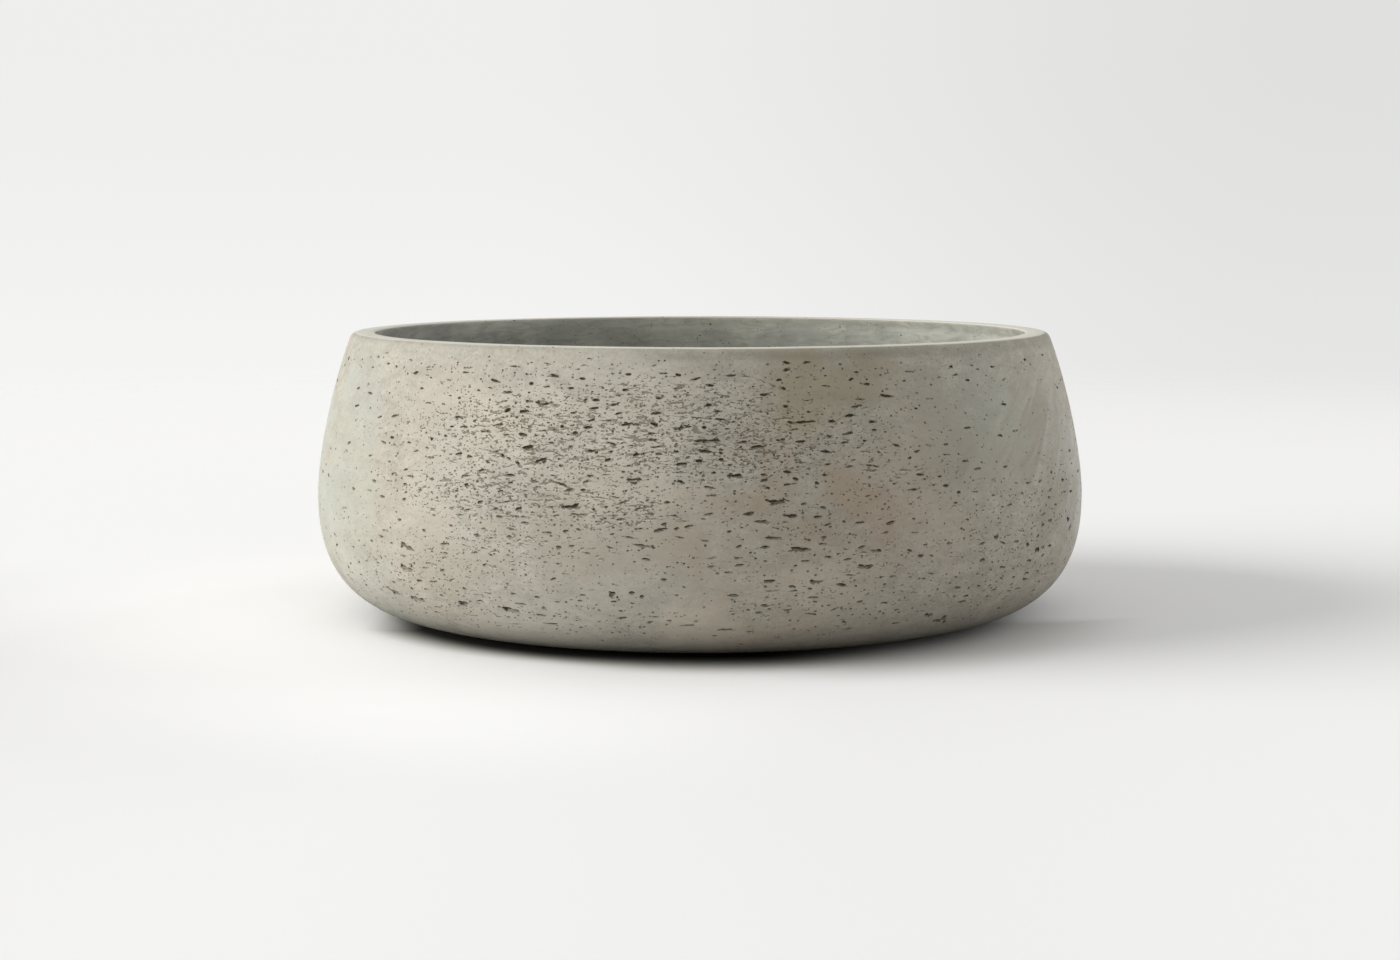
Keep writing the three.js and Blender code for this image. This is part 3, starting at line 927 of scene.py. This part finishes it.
def rubber(name, colour, roughness, dusty, dust):
    """Moulded rubber with a fine skin and a little dust."""
    material, net, shader, place = principled(name)
    mask = net.use(dust, Place=place, Amount=dusty)
    worn = net.cloud(place, 140, 5, 0.65).ramp(0.35, 0.65, 0, 0.4)
    base = net.tint(worn, colour, tuple(part * 1.5 for part in colour))
    base = net.tint(mask, base, (0.34, 0.31, 0.26))
    normal = net.bump(net.cloud(place, 1600, 3, 0.6), 0.0001, 0.5)
    net.fill(shader, {"Base Color": base, "Roughness": mask.ramp(0, 1, roughness, 0.95), "Normal": normal})
    return material


# ---- Pieces ----


def wandering(sizes, place):
    """How far the wall stands inside its true outline there: nothing near the foot, a little higher up."""
    rise = clamp((place.z - 0.02) / 0.03)
    slow = noise.noise(place * 9)
    quick = noise.noise(place * 34)
    return sizes.unevenness * (0.5 + 0.4 * slow + 0.1 * quick) * rise


def mark_bowl(mesh, sizes, outside, low, top):
    """Stores what the cement's material reads: how pitted, how deep, and whether inside or on the lip."""
    bm = bmesh.new()
    bm.from_mesh(mesh)
    for edge in bm.edges:
        if len({face.material_index for face in edge.link_faces}) > 1:
            edge.smooth = False
    bm.to_mesh(mesh)
    bm.free()
    in_pit = set()
    pit = mesh.attributes.new("pit", "FLOAT", "FACE").data
    for face in mesh.polygons:
        if face.material_index == 1:
            in_pit.update(face.vertices)
            pit[face.index].value = 1
        face.material_index = 0
    names = ("porosity", "pit_depth", "inside", "lip")
    full, deep, inside, lip = [mesh.attributes.new(name, "FLOAT", "POINT").data for name in names]
    lip_to = sizes.lip_radius - sizes.lip_outer_round * LIP_SHARE
    for i, vert in enumerate(mesh.vertices):
        place = vert.co
        radius = math.hypot(place.x, place.y)
        outer, along = outside.beside(place)
        if i in in_pit:
            deep[i].value = max((outer - radius) * along.z - wandering(sizes, place), 0)
        if radius > outer - sizes.wall / 2 and place.z > low + 0.002:
            full[i].value = porosity(bearing_of(place), place.z)
        elif place.z > low + sizes.kick_depth + sizes.drain_edge:
            inside[i].value = 1
        if place.z > top - LIP_WEAR and radius < lip_to:
            lip[i].value = 1
            inside[i].value = 0


class Strip:
    """Where one side of the wall lies on the UV map: a front and a back strip of the same size."""

    def __init__(self, points, eye, width, middle, feet, way):
        """Measures along an outline as it is seen from the eye. feet are the strips' lower ends."""
        self.eye, self.width, self.middle, self.feet, self.way = eye, width, middle, feet, way
        self.angles, self.lengths = [], []
        far = 0
        for i, point in enumerate(points):
            far += (point - points[max(i - 1, 0)]).length
            self.angles.append(math.atan2(point.z - eye.z, point.x - eye.x))
            self.lengths.append(far)

    def along(self, radius, height):
        """How far along the outline a point lies."""
        angles, lengths = self.angles, self.lengths
        seen = math.atan2(height - self.eye.z, radius - self.eye.x)
        i = clamp(bisect_right(angles, seen), 1, len(angles) - 1)
        share = (seen - angles[i - 1]) / (angles[i] - angles[i - 1])
        return lengths[i - 1] + (lengths[i] - lengths[i - 1]) * clamp(share)

    def uv(self, place, bearing, back, widest):
        """A point's place on the map."""
        around = (bearing - (math.pi if back else 0) + math.pi) % math.tau - math.pi
        height = self.along(math.hypot(place.x, place.y), place.z) * self.width / (math.pi * widest)
        return self.middle + self.way * self.width * around / math.pi, self.feet[back] + height


def lay_flat(mesh, sizes, outside, outline, low, top):
    """Gives the bowl its UV map: walls cut into a front and a back strip, floor and underside as discs."""
    eye = spot(sizes.foot_radius * 0.88, sizes.belly_height)
    floor = low + sizes.floor_thickness
    lip_in = sizes.lip_radius - sizes.wall + sizes.lip_inner_round + HAIR
    turn_in = next(i for i, point in enumerate(outline) if point.z > top - HAIR and point.x < lip_in)
    inner = outline[turn_in:]
    end = next(i for i, point in enumerate(inner) if point.x <= sizes.foot_radius + HAIR)
    outer_strip = Strip(outline[: turn_in + 1], eye, 0.97, 0.5, (0.006, 0.306), 1)
    inner_strip = Strip(inner[: end + 1][::-1], eye, 0.62, 0.323, (0.607, 0.787), -1)
    bearings = [bearing_of(vert.co) for vert in mesh.vertices]
    uv = mesh.uv_layers.new(name="OFBake").data
    for face in mesh.polygons:
        middle = face.center
        radius = math.hypot(middle.x, middle.y)
        strip = None
        if radius > outside.beside(middle)[0] - sizes.wall / 2 or middle.z > top - HAIR:
            strip = outer_strip
        elif radius > sizes.foot_radius:
            strip = inner_strip
        above = middle.z > low + sizes.kick_depth + sizes.drain_edge
        size, centre_u, centre_v, way = (0.78, 0.782, 0.733, 1) if above else (0.41, 0.726, 0.925, -1)
        back = abs(bearing_of(middle)) > math.pi / 2
        for loop in face.loop_indices:
            index = mesh.loops[loop].vertex_index
            place = mesh.vertices[index].co
            if strip:
                uv[loop].uv = strip.uv(place, bearings[index], back, outside.widest)
                continue
            out = math.hypot(place.x, place.y)
            shrunk = size
            if above and place.z < floor and out > 0:
                shrunk *= (out - (floor - place.z) * 0.3) / out
            uv[loop].uv = (centre_u + place.x * shrunk * way, centre_v + place.y * shrunk)


def check(obj, node):
    """Raises an error if a finished piece is empty, open or outside the box of its node."""
    bm = bmesh.new()
    bm.from_mesh(obj.data)
    ragged = sum(edge.is_boundary or edge.is_wire for edge in bm.edges)
    faces = len(bm.faces)
    bm.free()
    if faces == 0 or ragged:
        raise RuntimeError(f"{obj.name} has {faces} faces and {ragged} open edges")
    lowest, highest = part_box(node)
    for vert in obj.data.vertices:
        for axis in range(3):
            if not lowest[axis] - BOX_SLACK < vert.co[axis] < highest[axis] + BOX_SLACK:
                raise RuntimeError(f"{obj.name} stands out of the box of {node}")


class PLANTER_OT_bowl(Operator):
    """Turn the bowl's outline, and cut the feet's pockets and the air pits out of it"""

    bl_idname = "planter.bowl"
    bl_label = "Bowl"

    def execute(self, context):
        """Builds the bowl."""
        sizes = context.scene.planter_bowl
        pit_sizes = context.scene.planter_pits
        lowest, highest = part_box("bowl_shell")
        low, top = lowest.z, highest.z
        outside = Outside(sizes, low, top, highest.x)
        outline = bowl_outline(sizes, outside, low, top)
        bm = turn(outline, sizes.turns, True)
        for vert in bm.verts:
            vert.co -= vert.normal * wandering(sizes, vert.co)
        bowl = put_in_scene("bowl", as_mesh(bm, "bowl"))
        bowl.data.materials.append(cement(outside))

        cut(bowl, foot_pockets(sizes, low))
        mains, medium, small, spurs = lay_out_pits(pit_sizes, outside)
        ragged = pit_sizes.raggedness
        balls = (
            cutters("main_pits", mains, 3, ragged),
            cutters("medium_pits", medium, 2, ragged * 0.8),
            cutters("small_pits", small, 1, 0.2),
        )
        cut(bowl, join("pits", balls))
        for layer in spurs:
            cut(bowl, join("spurs", (cutters("spur_balls", layer, 2, ragged),)))
        mesh = bowl.data
        mesh.name = "bowl"
        mesh.shade_smooth()
        mesh.set_sharp_from_angle(angle=math.radians(32))
        mark_bowl(mesh, sizes, outside, low, top)
        while len(mesh.materials) > 1:
            mesh.materials.pop()
        lay_flat(mesh, sizes, outside, outline, low, top)
        check(bowl, "bowl_shell")
        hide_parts("bowl_shell")
        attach(bowl, "bowl")
        return {"FINISHED"}


class PLANTER_OT_plug(Operator):
    """Turn the drain plug's outline and soften its moulded edges"""

    bl_idname = "planter.plug"
    bl_label = "Drain plug"

    def execute(self, context):
        """Builds the drain plug."""
        sizes = context.scene.planter_plug
        lowest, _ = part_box("drain_plug")
        bm = turn(plug_outline(sizes, lowest.z), sizes.turns, False)
        crisp = [edge for edge in bm.edges if edge.calc_face_angle(0) > math.radians(20)]
        soften(bm, crisp, sizes.soft_edge, 3, True)
        mesh = as_mesh(bm, "plug")
        mesh.shade_smooth()
        mesh.materials.append(rubber("plug_rubber", (0.025, 0.025, 0.024), 0.5, 0.14, dust_group()))
        plug = put_in_scene("plug", mesh)
        check(plug, "drain_plug")
        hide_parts("drain_plug")
        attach(plug, "plug")
        return {"FINISHED"}


class PLANTER_OT_feet(Operator):
    """Make the four rubber feet, each a short cylinder with rounded edges"""

    bl_idname = "planter.feet"
    bl_label = "Feet"

    def execute(self, context):
        """Builds the four feet."""
        sizes = context.scene.planter_feet
        material = rubber("foot_rubber", (0.045, 0.043, 0.04), 0.7, 0.15, bpy.data.node_groups["Dust"])
        for i, name in enumerate(FEET, 1):
            lowest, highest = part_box(name)
            bm = bmesh.new()
            radius, height = (highest.x - lowest.x) / 2, highest.z - lowest.z
            cylinder(bm, (lowest + highest) / 2, radius, height, sizes.turns)
            for level, offset in ((lowest.z, sizes.edge), (highest.z, sizes.top_edge)):
                rim = [edge for edge in bm.edges if all(abs(vert.co.z - level) < 1e-6 for vert in edge.verts)]
                soften(bm, rim, offset, 4, False)
            mesh = as_mesh(bm, f"foot_{i}")
            mesh.shade_smooth()
            mesh.set_sharp_from_angle(angle=math.radians(50))
            mesh.materials.append(material)
            foot = put_in_scene(f"foot_{i}", mesh)
            check(foot, name)
            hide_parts(name)
            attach(foot, "bowl")
        return {"FINISHED"}


# ---- Stage ----


def lamp(name, bearing, elevation, strength, spread, colour):
    """A wide, soft lamp far away. The bearing is in degrees from the camera, positive to its right."""
    light = bpy.data.lights.new(name, "SUN")
    light.energy = strength
    light.angle = math.radians(spread)
    light.color = colour
    obj = put_in_scene(name, light)
    around, up = math.radians(bearing), math.radians(elevation)
    towards = Vector((math.sin(around) * math.cos(up), -math.cos(around) * math.cos(up), math.sin(up)))
    obj.rotation_euler = (-towards).to_track_quat("-Z", "Y").to_euler()


def floor_material():
    """A pale sheet: painted shadow close round the heel, painted light at the left, and clear in the
    distance.
    """
    material = bpy.data.materials.new("floor")
    material.use_nodes = True
    net = Net(material.node_tree)
    net.tree.nodes.clear()
    place = net.put("TexCoord", {}, "Object")
    away = net.put("VectorMath", {0: place}, "Value", operation="LENGTH")
    x, y, _ = net.xyz(place)

    # Painted contact shadow round the heel, shaped on its own at the left, the front and the right.
    front = x.ramp(-0.09, -0.01)
    left = away.ramp(0.178, 0.213, 0.05, 1).most(x.ramp(-0.15, -0.195))
    left = left * (1.0 - front) + away.ramp(0.168, 0.228, 0.03, 1) * front
    right = away.ramp(0.2, 0.27, 0.72, 1).most(y.ramp(-0.12, -0.04))
    side = x.ramp(0.03, 0.11)
    painted_contact_shadow = left * (1.0 - side) + right * side
    # Painted light on the floor: lighter near the bowl at the front left, and farther back on the left.
    painted_floor_light = away.ramp(0.28, 0.5, 0.25, 0.04) * x.ramp(-0.2, 0.1, 1, 0) * y.ramp(-0.02, 0.26, 1, 0.05)
    painted_floor_light = painted_floor_light + y.ramp(0, 0.22, 0.025, 0.095) * x.ramp(0.1, -0.15)
    # The painted shadow is warmer than the lit floor, and the floor is painted a little lighter towards the
    # right.
    tone = net.tint(painted_contact_shadow, (0.84, 0.80, 0.71), (0.82, 0.821, 0.822))
    seen_colour = net.shade(tone, painted_contact_shadow * (painted_floor_light + x.ramp(-0.3, 0.3, 1, 1.04)))
    # The light the floor throws back is painted too: none close under the heel, more at the left and less at
    # the right.
    bounce_colour = net.shade((0.94, 0.932, 0.918), away.ramp(0.187, 0.247) * x.ramp(-0.15, 0.2, 1.05, 0.62))

    looks = [net.put("BsdfDiffuse", {"Color": colour}) for colour in (bounce_colour, seen_colour)]
    look = net.put("MixShader", {0: net.seen(), 1: looks[0], 2: looks[1]})
    clear = net.put("BsdfTransparent", {})
    fade = net.put("MixShader", {0: away.ramp(0.9, 2.6), 1: look, 2: clear})
    net.node("OutputMaterial", {"Surface": fade})
    return material


def studio(sizes):
    """The world: the backdrop where the picture looks at it, with painted light across it, and an even sky
    for all other light.
    """
    world = bpy.data.worlds.new("studio")
    world.use_nodes = True
    net = Net(world.node_tree)
    net.tree.nodes.clear()
    x, _, z = net.xyz(net.put("TexCoord", {}, "Generated"))
    # Painted light on the backdrop: brighter at the left and below the horizon, dimmer at the right and above
    # it.
    painted_falloff = x.ramp(-0.1, 0.25, 1, 0.87) * z.ramp(-0.13, 0.07, 1.03, 0.95)
    backdrop = net.put("Background", {"Color": sizes.backdrop, "Strength": painted_falloff})
    sky = net.put("Background", {"Color": (1, 0.995, 0.985), "Strength": sizes.sky})
    mix = net.put("MixShader", {0: net.seen(), 1: sky, 2: backdrop})
    net.node("OutputWorld", {"Surface": mix})
    return world


class PLANTER_OT_stage(Operator):
    """Make the floor, the backdrop, the lamps and the camera"""

    bl_idname = "planter.stage"
    bl_label = "Stage"

    def execute(self, context):
        """Builds the stage."""
        scene = context.scene
        sizes = scene.planter_stage
        scene.view_settings.view_transform = "Standard"

        bm = bmesh.new()
        bmesh.ops.create_grid(bm, x_segments=1, y_segments=1, size=20)
        floor = put_in_scene("floor", as_mesh(bm, "floor"))
        floor.data.materials.append(floor_material())
        scene.world = studio(sizes)

        lamp("key", -82, 19, sizes.key_strength, 48, (1, 0.99, 0.97))
        lamp("fill", 115, 16, sizes.fill_strength, 50, (0.98, 0.99, 1))

        camera = bpy.data.cameras.new("camera")
        camera.lens = sizes.lens
        camera.sensor_width = 36
        scene.camera = put_in_scene("camera", camera)
        scene.camera.location = (0, -sizes.camera_distance, sizes.camera_height)
        scene.camera.rotation_euler = (math.pi / 2 - sizes.camera_tilt, 0, 0)
        return {"FINISHED"}


# ---- Panel and start ----

OPERATORS = (PLANTER_OT_bowl, PLANTER_OT_plug, PLANTER_OT_feet, PLANTER_OT_stage)


class PLANTER_PT_panel(Panel):
    """Buttons that build the planter piece by piece"""

    bl_idname = "PLANTER_PT_panel"
    bl_label = "Bowl planter"
    bl_space_type = "VIEW_3D"
    bl_region_type = "UI"
    bl_category = "Planter"

    def draw(self, context):
        """Lists the operators in the order they are run in."""
        for operator in OPERATORS:
            self.layout.operator(operator.bl_idname)


GROUPS = {
    "planter_bowl": BowlSizes,
    "planter_pits": PitSizes,
    "planter_plug": PlugSizes,
    "planter_feet": FootSizes,
    "planter_stage": StageSizes,
}
CLASSES = (*GROUPS.values(), *OPERATORS, PLANTER_PT_panel)


def register():
    """Registers the classes and gives the scene its property groups."""
    for cls in CLASSES:
        bpy.utils.register_class(cls)
    for name, group_class in GROUPS.items():
        setattr(bpy.types.Scene, name, PointerProperty(type=group_class))


def unregister():
    """Takes back what register did."""
    for name in GROUPS:
        delattr(bpy.types.Scene, name)
    for cls in reversed(CLASSES):
        bpy.utils.unregister_class(cls)


def main():
    """Builds every piece and the stage."""
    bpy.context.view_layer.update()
    register()
    bpy.ops.planter.bowl()
    bpy.ops.planter.plug()
    bpy.ops.planter.feet()
    bpy.ops.planter.stage()


if __name__ == "__main__":
    main()
